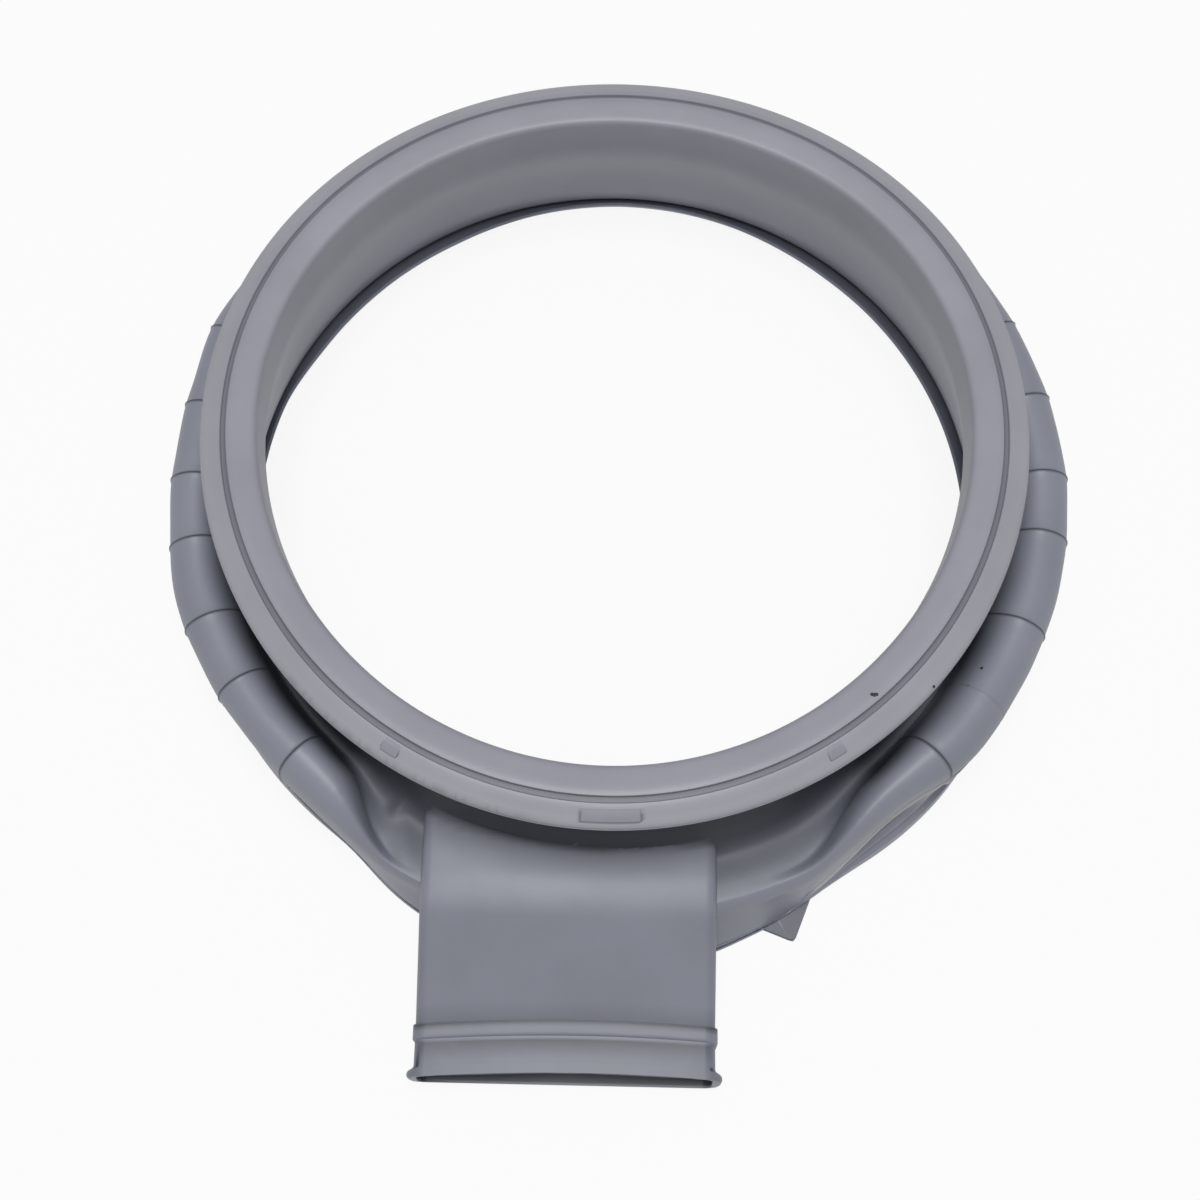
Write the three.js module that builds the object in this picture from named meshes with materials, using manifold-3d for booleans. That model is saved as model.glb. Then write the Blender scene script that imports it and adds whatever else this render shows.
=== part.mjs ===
import * as THREE from 'three';
import Module from 'manifold-3d';

const wasm = await Module();
wasm.setup();

// Front ring. Heights are measured from the floor that the rear rim rests on.
const ringOuterRadius = 184;
const ringInnerRadius = 157.6;
const ringEdgeHeight = 108;
const grooveRadius = 172.6;
const grooveWidth = 2.6;
const grooveDepth = 1.1;
const outerBandRise = 4.4;
const innerBandDrop = 1.6;
const flangeThickness = 3.4;
const flangeRootThickness = 5.2;
const ringInnerFillet = 4;

// At rest the soft ring is a little off round, and the roll sits to one side of it.
const ringThreeLobe = 1.3;
const ringTwoLobe = -0.7;

// Inner sleeve, flaring toward the rear.
const sleeveRearRadius = 179.6;
const sleeveRearHeight = 9.5;
const wall = 3;

// Bellows roll and the rear rim.
const mouldPitches = 32;
const mouldLineDepth = 0.7;
const mouldLineWidth = 0.45;
const valleyHeight = 40;
const rimOuterRadius = 209;
const rimInnerRadius = 181.5;
const rimThickness = 3.8;
const lipRadius = 174;
const lipHeight = 8.8;
const lipThickness = 1.5;
const clampGrooveDepth = 2.2;
const clampGrooveLow = 12;
const clampGrooveHigh = 24;

// Air duct.
const ductCentreX = -16;
const ductWidth = 129;
const ductTopHeight = 44;
const ductOuterThickness = 22;
const ductWall = 2.5;
const ductCornerRadius = 5;
const ductCrown = 1.6;
const ductBendY = -199;
const ductBandY = -252;
const ductBandWidth = 9;
const ductBandProud = 1.1;
const ductMouthY = -270.8;
const ductMouthTop = 25.3;
const ductRimProud = 3;
const ductRimWidth = 4.6;
const ductRimLift = 0.45;
const mouthLean = 0.105;

// Small raised features.
const bottomMarkWidth = 27;
const sideMarkWidth = 7.8;
const markLength = 5.6;
const markProud = 0.8;
const sideMarkAngle = 31.5;
const tabStartAngle = 18.6;
const tabEndAngle = 26.4;
const tabTipAngle = 21.8;
const tabTipRadius = 226.4;
const tabThickness = 2.6;

const degrees = Math.PI / 180;

function place(radius, angle, height) {
  return [radius * Math.sin(angle * degrees), -radius * Math.cos(angle * degrees), height];
}

function smooth(t) {
  const c = Math.min(1, Math.max(0, t));
  return c * c * (3 - 2 * c);
}

// Reads a value from [angle, value] pairs, easing from one pair to the next.
function along(pairs, angle) {
  if (angle <= pairs[0][0]) return pairs[0][1];
  for (let i = 1; i < pairs.length; i += 1) {
    const [a0, v0] = pairs[i - 1];
    const [a1, v1] = pairs[i];
    if (angle <= a1) return v0 + (v1 - v0) * (angle - a0) / (a1 - a0);
  }
  return pairs[pairs.length - 1][1];
}

function sleeveRadius(height) {
  const run = (ringEdgeHeight - height) / (ringEdgeHeight - sleeveRearHeight);
  return ringInnerRadius + (sleeveRearRadius - ringInnerRadius) * run;
}

// How the roll swings outward and sinks into the shelf on either side of the duct.
const creaseRight = [[22, 197], [26, 198], [30, 195.5], [34, 188.5], [39, 184.5], [46, 183.5]];
const creaseLeft = [[24, 200], [28, 204.5], [31, 200], [33.5, 193], [36.5, 185.5], [42, 183.5]];
const crestRight = [[22, 205], [25, 206.5], [28, 205.5], [31, 202.5], [37, 198.5], [42, 197.3], [52, 199.6]];
const crestLeft = [[24, 206], [28, 208], [31, 205.5], [34, 201], [38, 197.3], [44, 197.3], [52, 199.6]];
const topRight = [[20, 37.5], [24, 39.5], [28, 45], [33, 53], [40, 59], [48, 62]];
const topLeft = [[25, 37.5], [28, 41.5], [31, 48], [35, 56], [41, 60.5], [48, 62]];
const outRight = [[22, 210], [26, 210.5], [30, 208.5], [36, 206.5], [42, 207], [50, 211.7]];
const outLeft = [[22, 211], [27, 212], [32, 212], [38, 211.5], [50, 211.7]];
const edgeRight = [[20, 5], [24, 9], [30, 20], [36, 31], [44, 38], [52, 40]];
const edgeLeft = [[20, 5], [34, 7], [42, 22], [52, 40]];
const rimRight = [[12, 222], [16, 218.5], [20, 216], [26, 211], [33, 209.2], [40, 210], [50, 209]];
const rimLeft = [[12, 222], [22, 217.5], [25.5, 215], [29, 212.2], [33, 210], [40, 209]];

function shape(angle, line) {
  const side = Math.abs(angle);
  const right = angle > 0;
  const rolled = smooth((side - 24) / 16);
  const pinch = line ? mouldLineDepth * rolled : 0;
  const floor = along(right ? rimRight : rimLeft, side) * rimOuterRadius / 209;
  return {
    rolled,
    crease: along(right ? creaseRight : creaseLeft, side),
    crest: along(right ? crestRight : crestLeft, side),
    top: along(right ? topRight : topLeft, side) - pinch,
    out: along(right ? outRight : outLeft, side) - pinch,
    edge: along(right ? edgeRight : edgeLeft, side),
    steep: smooth((side - 27) / 11),
    floor,
    valley: valleyHeight - 2.5 * (1 - rolled),
    knee: along([[20, 3], [28, 8], [36, 12]], side),
  };
}

// Swelling of the roll at rest, as [angle, growth] on each side.
const swellRight = [[40, 0], [50, 2.8], [64, 4.6], [90, 5.2], [101, 3.6], [116, 2.4], [140, 1.2], [180, 0]];
const swellLeft = [[44, -0.6], [56, 0.4], [67, 0], [73, 1.6], [80, -0.6], [90, -2.4], [116, -1.6], [180, 0]];

// How far the rubber at rest stands from its round shape.
function sag(angle, radius, height) {
  const turn = angle * degrees;
  const ringShare = smooth((height - 40) / 55);
  const rollShare = smooth((radius - 183) / 10) * smooth(height / 30) * (1 - ringShare);
  const lobes = ringThreeLobe * Math.cos(3 * turn) + ringTwoLobe * Math.cos(2 * turn);
  const swell = along(angle > 0 ? swellRight : swellLeft, Math.abs(angle));
  return lobes * ringShare + swell * rollShare;
}

function ringProfile() {
  const bandTop = ringEdgeHeight + outerBandRise;
  const grooveIn = grooveRadius - grooveWidth / 2;
  const grooveOut = grooveRadius + grooveWidth / 2;
  const innerTop = bandTop + 0.6;
  return [
    [ringInnerRadius + 0.5, innerTop - innerBandDrop - ringInnerFillet * 0.55],
    [ringInnerRadius + ringInnerFillet * 0.4, innerTop - innerBandDrop - 0.6],
    [ringInnerRadius + ringInnerFillet, innerTop - innerBandDrop + 0.3],
    [grooveIn - 0.8, innerTop],
    [grooveIn, innerTop - 0.35],
    [grooveIn + 0.3, innerTop - grooveDepth],
    [grooveOut - 0.5, bandTop - grooveDepth],
    [grooveOut, bandTop - 0.5],
    [ringOuterRadius - 1.4, ringEdgeHeight + 0.5],
    [ringOuterRadius, ringEdgeHeight - 1],
    [ringOuterRadius - 0.6, ringEdgeHeight - flangeThickness + 0.4],
    [ringOuterRadius - 2, ringEdgeHeight - flangeThickness],
    [sleeveRadius(98) + wall + 5, ringEdgeHeight - flangeRootThickness],
    [sleeveRadius(98) + wall + 1.2, ringEdgeHeight - flangeRootThickness - 2],
    [sleeveRadius(92) + wall, 96],
  ];
}

function section(angle, line) {
  const s = shape(angle, line);
  const points = ringProfile();
  const neckLow = s.valley + 16;
  points.push([sleeveRadius(78) + wall, 78]);
  points.push([sleeveRadius(neckLow) + wall + 0.6 * (1 - s.rolled), neckLow]);
  const foot = sleeveRadius(s.valley) + wall;
  points.push([foot + 0.6 + 2 * (1 - s.rolled), s.valley + 5 + 3 * (1 - s.rolled)]);
  points.push([foot + 2.4 + 5 * (1 - s.rolled), s.valley + 0.8]);
  points.push([s.crease - 1.4, s.valley]);
  const flank = s.top - s.valley;
  for (const t of [0.12, 0.35, 0.6, 0.82]) {
    const a = t * Math.PI / 2;
    const reach = (1 - Math.cos(a)) * s.steep + t * (1 - s.steep);
    const rise = Math.sin(a) * s.steep + smooth(t) * (1 - s.steep);
    points.push([s.crease + (s.crest - s.crease) * reach, s.valley + flank * rise]);
  }
  points.push([s.crest, s.top]);
  const fall = Math.min(s.knee, s.top - s.edge - 2);
  for (const t of [0.32, 0.64, 1]) {
    const a = t * Math.PI / 2;
    points.push([s.crest + (s.out - s.crest) * Math.sin(a), s.top - fall * (1 - Math.cos(a))]);
  }
  const rim = s.floor;
  const near = 1 - s.rolled;
  const share = (s.edge - 0) / Math.max(1, s.top - fall);
  const wallAtEdge = s.out + (rim - s.out) * (1 - share);
  const edgeRadius = wallAtEdge * near + (s.out - 0.6) * s.rolled;
  points.push([edgeRadius, s.edge]);
  const under = Math.min(edgeRadius - 1.2 * s.rolled, rim);
  points.push([under, s.edge - 1.2]);
  const high = Math.min(clampGrooveHigh, s.edge * 0.72);
  const low = Math.min(clampGrooveLow, s.edge * 0.4);
  const seat = clampGrooveDepth * s.rolled;
  const stem = Math.min(under, rim - 0.6);
  points.push([stem + (rim - stem) * (1 - high / Math.max(s.edge, 1)), high]);
  points.push([rim - seat - 0.8, high - 1.4]);
  points.push([rim - seat - 0.4, low + 1.2]);
  points.push([rim, low]);
  points.push([rim, 0]);
  points.push([rimInnerRadius, 0]);
  points.push([lipRadius + 0.2, lipHeight - lipThickness]);
  points.push([lipRadius, lipHeight - 0.3]);
  points.push([lipRadius + 1.2, lipHeight]);
  points.push([rimInnerRadius + 3, rimThickness + 0.6]);
  const inner = Math.min(s.out, rim, under) - wall - clampGrooveDepth;
  points.push([inner - 2, rimThickness]);
  const hollowOut = Math.min(s.out - wall, edgeRadius - wall);
  points.push([Math.min(hollowOut, inner + 1.5), Math.max(s.edge * 0.8, rimThickness + 6)]);
  const hollowSide = Math.max(s.top - fall - 1, rimThickness + 9);
  points.push([hollowOut, hollowSide]);
  const hollowTop = s.top - wall;
  const hollowCrest = Math.min(s.crest, hollowOut - 2);
  points.push([hollowCrest + (hollowOut - hollowCrest) * 0.72, hollowSide + (hollowTop - hollowSide) * 0.68]);
  points.push([hollowCrest, hollowTop]);
  const hollowCrease = Math.min(s.crease + wall, hollowCrest - 1.5);
  const hollowFloor = s.valley - wall;
  points.push([hollowCrease + (hollowCrest - hollowCrease) * 0.3, hollowFloor + (hollowTop - hollowFloor) * 0.72]);
  points.push([hollowCrease, hollowFloor + (hollowTop - hollowFloor) * 0.25]);
  points.push([hollowCrease - 2.5, hollowFloor]);
  points.push([sleeveRadius(hollowFloor) + wall + 2, hollowFloor]);
  points.push([sleeveRadius(hollowFloor - 4) + wall, hollowFloor - 4]);
  points.push([sleeveRearRadius + wall, sleeveRearHeight + 3]);
  points.push([sleeveRearRadius + wall - 0.7, sleeveRearHeight + 0.6]);
  points.push([sleeveRearRadius + wall / 2, sleeveRearHeight]);
  points.push([sleeveRearRadius + 0.2, sleeveRearHeight + 1]);
  points.push([sleeveRadius(40), 40]);
  return points.map(([radius, height]) => [radius + sag(angle, radius, height), height]);
}

function bodySolid(vertices, triangles) {
  const geometry = new THREE.BufferGeometry();
  geometry.setAttribute('position', new THREE.Float32BufferAttribute(vertices, 3));
  geometry.setIndex(triangles);
  return toManifold(geometry);
}

function toManifold(geometry) {
  const mesh = new wasm.Mesh({
    numProp: 3,
    vertProperties: new Float32Array(geometry.getAttribute('position').array),
    triVerts: new Uint32Array(geometry.getIndex().array),
  });
  return new wasm.Manifold(mesh);
}

// Joins a list of closed rings of points; the ends are capped or the last ring meets the first.
function skin(rings, closed) {
  const count = rings[0].length;
  const vertices = rings.flat(2);
  const triangles = [];
  const spans = closed ? rings.length : rings.length - 1;
  for (let i = 0; i < spans; i += 1) {
    const next = (i + 1) % rings.length;
    for (let j = 0; j < count; j += 1) {
      const k = (j + 1) % count;
      const a = i * count + j;
      const b = i * count + k;
      const c = next * count + j;
      const d = next * count + k;
      triangles.push(a, c, b, b, c, d);
    }
  }
  if (!closed) {
    for (const [ring, flip] of [[0, false], [rings.length - 1, true]]) {
      const centre = [0, 1, 2].map((axis) => {
        return rings[ring].reduce((sum, point) => sum + point[axis], 0) / count;
      });
      const hub = vertices.length / 3;
      vertices.push(...centre);
      for (let j = 0; j < count; j += 1) {
        const a = ring * count + j;
        const b = ring * count + (j + 1) % count;
        if (flip) triangles.push(a, hub, b);
        else triangles.push(a, b, hub);
      }
    }
  }
  const solid = bodySolid(vertices, triangles);
  if (solid.volume() > 0) return solid;
  for (let i = 0; i < triangles.length; i += 3) {
    [triangles[i], triangles[i + 1]] = [triangles[i + 1], triangles[i]];
  }
  return bodySolid(vertices, triangles);
}

// How far the mould lines have moved along the roll at rest, as [angle, move] on each side.
const driftRight = [[34, 0], [45, 1.3], [56, 0], [67, 0.3], [79, 2.2], [90, -0.4], [124, 0], [180, 0]];
const driftLeft = [[34, 0], [45, -1.2], [56, 0], [67, -1.5], [79, -1.4], [90, -3.2], [101, -3.6], [180, 0]];

// Each pitch of the mould holds its parting line, the line's far side and the middle of the swell.
function stations() {
  const pitch = 360 / mouldPitches;
  const list = [];
  for (let i = 0; i < mouldPitches; i += 1) {
    for (const [step, line] of [[0, true], [mouldLineWidth, false], [pitch / 2, false]]) {
      const angle = i * pitch - 180 + step;
      const drift = angle > 0 ? along(driftRight, angle) : -along(driftLeft, -angle);
      list.push([angle + drift, line]);
    }
  }
  return list;
}

function seal() {
  const rings = stations().map(([angle, line]) => {
    return section(angle, line).map(([radius, height]) => place(radius, angle, height));
  });
  return skin(rings, true);
}

// Rounded rectangle with a crowned top, as [across, up] points about its centre.
function ductOutline(width, height, radius, crown) {
  const points = [];
  const arc = 4;
  const w = width / 2 - radius;
  const h = height / 2 - radius;
  const corners = [[w, h, 0], [-w, h, 90], [-w, -h, 180], [w, -h, 270]];
  for (const [x, y, start] of corners) {
    for (let i = 0; i < arc; i += 1) {
      const a = (start + (90 * i) / (arc - 1)) * degrees;
      points.push([x + radius * Math.cos(a), y + radius * Math.sin(a)]);
    }
    if (start === 0) {
      for (const t of [0.5, 0, -0.5]) {
        points.push([w * t, h + radius + crown * (1 - t * t)]);
      }
    }
  }
  return points;
}

// Stations along the duct: [y at the centre, top height, growth of the sides, lean].
function ductStations() {
  const slope = (ductTopHeight - 3.4 - ductMouthTop - 2.2) / (ductBandY - ductBendY - 7);
  const bandTop = ductMouthTop + 2.2;
  const bandEndY = ductBandY - ductBandWidth;
  const rimY = ductMouthY + ductRimWidth;
  return [
    [-148, ductTopHeight, 0, 0],
    [ductBendY + 8, ductTopHeight, 0, 0],
    [ductBendY + 2, ductTopHeight - 0.4, 0, 0],
    [ductBendY - 3, ductTopHeight - 1.5, 0, 0],
    [ductBendY - 8, ductTopHeight - 3.2, 0, 0],
    [ductBandY + 0.6, bandTop, 0, mouthLean / 2],
    [ductBandY, bandTop, ductBandProud, mouthLean / 2],
    [bandEndY, ductMouthTop + 0.9, ductBandProud, mouthLean],
    [bandEndY - 0.7, ductMouthTop + 0.8, 0, mouthLean],
    [rimY, ductMouthTop, 0, mouthLean],
    [rimY - 1.2, ductMouthTop, ductRimProud * 0.8, mouthLean],
    [ductMouthY + 1.4, ductMouthTop, ductRimProud, mouthLean],
    [ductMouthY, ductMouthTop, ductRimProud * 0.7, mouthLean],
  ];
}

function ductSolid(inset, startY, endY) {
  const stations = ductStations();
  const rings = stations.map(([y, top, growth, lean], index) => {
    const grow = inset > 0 ? 0 : growth;
    const outer = top;
    const height = ductOuterThickness - 2 * inset + 2 * grow * ductRimLift;
    const width = ductWidth - 2 * inset + 2 * grow;
    const radius = Math.max(2, ductCornerRadius - inset + grow);
    const centre = outer - ductOuterThickness / 2;
    let along0 = y;
    if (index === 0) along0 = startY;
    if (index === stations.length - 1) along0 = endY;
    return ductOutline(width, height, radius, ductCrown).map(([across, up]) => [
      ductCentreX + across,
      along0 + up * Math.sin(lean),
      centre + up * Math.cos(lean),
    ]);
  });
  return skin(rings, false);
}

// A plug that fills the inside of the sleeve.
function sleevePlug(clearance) {
  const low = sleeveRadius(-10) + clearance;
  const high = sleeveRadius(120) + clearance;
  const outline = [[1, -10], [low, -10], [high, 120], [1, 120]];
  const rings = stations().map(([angle]) => outline.map(([radius, height]) => place(radius, angle, height)));
  return skin(rings, true);
}

// A pad that follows the ring between two radii and two angles.
function arcPad(angle, width, innerRadius, outerRadius, lowFace, highFace) {
  const half = width / 2 / ((innerRadius + outerRadius) / 2) / degrees;
  const steps = 4;
  const rings = [];
  for (let i = 0; i <= steps; i += 1) {
    const at = angle - half + (2 * half * i) / steps;
    rings.push([
      place(innerRadius, at, lowFace(innerRadius)),
      place(outerRadius, at, lowFace(outerRadius)),
      place(outerRadius, at, highFace(outerRadius)),
      place(innerRadius, at, highFace(innerRadius)),
    ]);
  }
  return skin(rings, false);
}

function positionMark(angle, width) {
  const inner = grooveRadius + grooveWidth / 2 + 1.2;
  const start = grooveRadius + grooveWidth / 2;
  const face = (radius) => {
    const share = (radius - start) / (ringOuterRadius - 1.4 - start);
    return ringEdgeHeight + outerBandRise - 0.5 - (outerBandRise - 1) * share;
  };
  return arcPad(angle, width, inner, inner + markLength, (r) => face(r) - 1.5, (r) => face(r) + markProud);
}

function tab() {
  const base = rimOuterRadius - 8;
  const corners = [
    [base, tabStartAngle],
    [rimOuterRadius + 6, tabStartAngle],
    [tabTipRadius - 1, tabTipAngle - 0.4],
    [tabTipRadius, tabTipAngle],
    [tabTipRadius - 0.8, tabTipAngle + 0.4],
    [rimOuterRadius + 1, tabEndAngle],
    [base, tabEndAngle],
  ];
  const rings = [0, tabThickness].map((height) => corners.map(([radius, angle]) => place(radius, angle, height)));
  return skin(rings, false);
}

const channelStart = -140;
const channelEnd = ductMouthY - 4;
let solid = seal();
solid = solid.add(ductSolid(0, -150, ductMouthY).subtract(sleevePlug(wall / 2)));
solid = solid.subtract(ductSolid(ductWall, channelStart, channelEnd));
solid = solid.add(tab());
solid = solid.add(positionMark(0, bottomMarkWidth));
solid = solid.add(positionMark(sideMarkAngle, sideMarkWidth));
solid = solid.add(positionMark(-sideMarkAngle, sideMarkWidth));

const result = solid.getMesh();
const geometry = new THREE.BufferGeometry();
geometry.setAttribute('position', new THREE.Float32BufferAttribute(result.vertProperties, 3));
geometry.setIndex(Array.from(result.triVerts));
geometry.computeBoundingBox();
const box = geometry.boundingBox;
geometry.translate(-(box.min.x + box.max.x) / 2, -(box.min.y + box.max.y) / 2, -box.min.z);
geometry.computeVertexNormals();

const rubber = new THREE.MeshStandardMaterial({ color: 0x8c9099, roughness: 0.62, metalness: 0 });
const mesh = new THREE.Mesh(geometry, rubber);
mesh.name = 'door_seal';

const group = new THREE.Group();
group.name = 'washing_machine_door_seal';
group.add(mesh);

export default group;
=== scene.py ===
import math
import bpy
import bmesh
import numpy as np
from mathutils import Matrix, Vector
from mathutils.kdtree import KDTree
from types import SimpleNamespace


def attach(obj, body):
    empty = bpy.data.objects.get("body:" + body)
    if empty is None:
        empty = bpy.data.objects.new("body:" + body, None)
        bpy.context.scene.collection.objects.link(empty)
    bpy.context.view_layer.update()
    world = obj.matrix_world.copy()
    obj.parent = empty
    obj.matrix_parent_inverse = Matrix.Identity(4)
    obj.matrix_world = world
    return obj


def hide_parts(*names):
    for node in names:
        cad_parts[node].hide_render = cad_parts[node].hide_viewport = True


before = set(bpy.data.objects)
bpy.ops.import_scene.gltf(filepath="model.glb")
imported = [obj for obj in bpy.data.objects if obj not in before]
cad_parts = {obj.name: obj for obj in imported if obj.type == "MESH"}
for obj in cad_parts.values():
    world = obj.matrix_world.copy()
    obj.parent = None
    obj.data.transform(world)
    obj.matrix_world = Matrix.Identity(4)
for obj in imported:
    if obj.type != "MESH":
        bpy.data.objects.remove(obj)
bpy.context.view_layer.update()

mm = 0.001
ringCentre = np.array([-3.387, 30.272, 0.0])   # the ring's axis in the part's frame, mm


def ease(value):
    t = np.clip(value, 0.0, 1.0)
    return t * t * (3.0 - 2.0 * t)


def bell(value, width):
    return np.exp(-(value / width) ** 2)


def between(value, start, end, fadeIn, fadeOut):
    return ease((value - start) / fadeIn) * ease((end - value) / fadeOut)


def soften(pairs, side):
    # reads [angle, value] pairs with the corners taken off
    angles, values = np.array(pairs, float).T
    reads = ((-3.0, 0.1), (-1.5, 0.22), (0.0, 0.36), (1.5, 0.22), (3.0, 0.1))   # degrees, share
    return sum(share * np.interp(side + step, angles, values) for step, share in reads)


def bothSides(right, left, angle):
    side = np.abs(angle)
    return np.where(angle > 0, soften(right, side), soften(left, side))


def place(radius, angle, height):
    turn = np.radians(angle)
    return np.stack([radius * np.sin(turn), -radius * np.cos(turn), height + 0.0 * radius], -1)


# lengths in mm, angles in degrees from the duct's side, positive to the right
seal = {
    "ringOuter": 183.5,
    "ringInner": 157.6,
    "edgeHeight": 108.0,
    "grooveRadius": 172.6,
    "grooveWidth": 2.6,
    "grooveDepth": 1.1,
    "bandRise": 3.8,
    "innerRise": 1.0,        # inner band over outer band
    "rearRadius": 179.6,
    "rearHeight": 9.5,
    "sleeveHeights": (98.0, 92.0, 78.0, 45.0),
    "wall": 3.0,
    "valley": 40.0,
    "valleyDrop": 2.5,       # how much lower the fold lies beside the duct
    "rimOuter": 209.0,
    "rimInner": 181.5,
    "rimThickness": 3.8,
    "seatDepth": 2.2,        # the clamp's seat in the rear rim
    "seatHigh": 24.0,
    "seatLow": 12.0,
    "lipRadius": 174.0,
    "lipHeight": 8.8,
    "lipThickness": 1.5,
    "threeLobe": 1.3,        # the ring off round
    "twoLobe": -0.7,
    "lobeHeight": 40.0,      # the lobes come in over this height
    "lobeSpan": 54.4,
    "growRadius": 183.0,     # the roll swells outside this radius
    "growSpan": 10.0,
    "growHeight": 30.0,
    "drawIn": 0.5,           # how far the roll and the rim stand inside their tables
    "shelfEnd": 24.0,        # the shelf turns into the roll from here
    "rollSpan": 16.0,
    "steepStart": 27.0,      # the roll's inner flank gets steep from here
    "steepSpan": 11.0,
    "flankShares": (0.12, 0.35, 0.6, 0.82),
    "crownSteps": ((0.32, 3), (0.64, 3), (1.0, 4)),
    "pitches": 32,           # mould lines
    "lineSteps": (-0.34, -0.17, 0.0, 0.17, 0.34),
    "lineDepth": 0.55,
    "lineWidth": 0.16,
    "linesStart": 36.0,
    "linesSpan": 5.0,
    "faintLine": 56.0,       # the mould line that hardly shows
    "faintWidth": 4.0,
    "faintShare": 0.85,
    "bulge": 0.35,           # swelling between two mould lines
    "bulgeWidth": 2.6,
    "nub": 0.9,              # where a mould line leaves the roll's edge
    "nubWidth": 0.4,
    "fin": 1.0,              # flash along the roll's right lower edge
    "finStart": 24.0,
    "finEnd": 50.0,
    "fineStart": 14.0,       # finer sections beside the duct
    "fineEnd": 52.0,
    "fineStep": 0.3,
    "coarseStep": 1.3,
    # soft bumps on the shelves: from, to, height, width
    "bumps": (((-91.2, -160.4), (-93.4, -162.5), 1.0, 3.0),
              ((-90.6, -164.0), (-87.7, -189.0), 0.7, 5.5)),
    # the crown's drop to the roll's side: angles, drops
    "knee": ([20, 28, 36], [10, 11, 12]),
    # the tables below hold the right side, then the left, as [angle, value]
    "crease": ([[22, 202], [26.4, 202], [28, 199.5], [30.2, 195.3], [34.5, 187.9], [39.4, 185],
                [46, 183.5]],
               [[24, 207.5], [27.5, 206.5], [30, 202.9], [31.5, 199.6], [33.9, 192.7],
                [37.1, 184.8], [42, 183.5]]),
    "crest": ([[22, 206], [26, 206.5], [28, 205.5], [31, 202], [36, 197.5], [42, 196.8],
               [52, 199.6]],
              [[24, 211], [28, 210], [31, 206], [34, 200.5], [38, 197], [44, 197],
               [52, 199.3]]),
    "top": ([[20, 37.5], [24, 38.2], [27, 41.5], [30, 47], [33, 53], [40, 59], [48, 62]],
            [[25, 37.5], [28, 38.8], [29.6, 42.5], [31, 47], [35, 56], [41, 60.5], [48, 62]]),
    "out": ([[22, 211], [26, 211], [30, 208], [36, 205.3], [40, 205.3], [44, 208.0],
             [48, 211.6], [52, 212], [58, 211.7]],
            [[22, 213.5], [26, 214], [29, 212.6], [32, 210.6], [36, 209.4], [44, 209.6],
             [52, 210.4], [60, 211.7]]),
    "edge": ([[20, 5], [24, 9], [30, 20], [36, 31], [44, 38], [52, 40]],
             [[20, 5], [34, 7], [42, 22], [52, 40]]),
    "rim": ([[12, 223], [16, 220], [18, 219], [21, 217.5], [24, 215], [28, 212], [32, 211],
             [40, 211.6], [46, 211.6], [50, 211], [56, 209]],
            [[12, 223], [22, 219.8], [24, 218.2], [26, 217], [28, 215], [30, 213],
             [32, 210.8], [35, 209], [56, 209]]),
    "swell": ([[46, 0], [52, 1.6], [56, 1.2], [60, 2], [64, 3], [68, 2.6], [72, 4.4],
               [80, 4.5], [90, 5.2], [101, 4], [116, 2.4], [140, 1.2], [180, 0]],
              [[44, -0.4], [56, 0], [64, 0.4], [68, 1.6], [73, 2], [78, -0.8], [84, -0.9],
               [90, -2.2], [102, -2], [107, 0.8], [112, 1.4], [118, -0.6], [128, -1.2],
               [180, 0]]),
    "lip": ([[90, 0.8], [120, -0.3], [140, -0.6], [150, 0.3], [160, 1.7], [170, 2.8],
             [180, 3.2]],
            [[90, 2.6], [108, 2.7], [118, 0], [130, -0.5], [150, -0.5], [160, 0.8],
             [170, 2.2], [180, 3.2]]),
    # how far each mould line stands from an even pitch
    "drift": ([[34, 0], [45, 1.3], [56, 0], [67, 0.3], [79, 2.2], [90, -0.4], [124, 0],
               [180, 0]],
              [[34, 0], [45, -1.2], [56, 0], [67, -1.5], [79, -1.4], [90, -3.2],
               [101, -3.6], [180, 0]]),
}


def sleeveRadius(height):
    run = (seal["edgeHeight"] - height) / (seal["edgeHeight"] - seal["rearHeight"])
    return seal["ringInner"] + (seal["rearRadius"] - seal["ringInner"]) * run


def lineAngles():
    # where the mould's parting lines cross the roll
    pitch = 360.0 / seal["pitches"]
    raw = np.arange(seal["pitches"]) * pitch - 180.0
    right, left = (np.interp(np.abs(raw), *np.array(pairs, float).T) for pairs in seal["drift"])
    return raw + np.where(raw > 0, right, -left)


def stationAngles():
    # where the section stands round the ring
    lines, steps = lineAngles(), seal["lineSteps"]
    reach = steps[-1]
    angles = []
    for start, end in zip(lines, np.append(lines[1:], lines[0] + 360.0)):
        angles += [start + step for step in steps]
        beside = seal["fineStart"] < abs((start + end) / 2) < seal["fineEnd"]
        spacing = seal["fineStep"] if beside else seal["coarseStep"]
        count = int(math.ceil((end - start - 2 * reach) / spacing))
        angles += list(np.linspace(start + reach, end - reach, count + 1)[1:-1])
    return np.array(angles)


def nearestLine(angle):
    gaps = (angle[:, None] - lineAngles()[None, :] + 180.0) % 360.0 - 180.0
    return gaps[np.arange(len(angle)), np.abs(gaps).argmin(1)]


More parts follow.
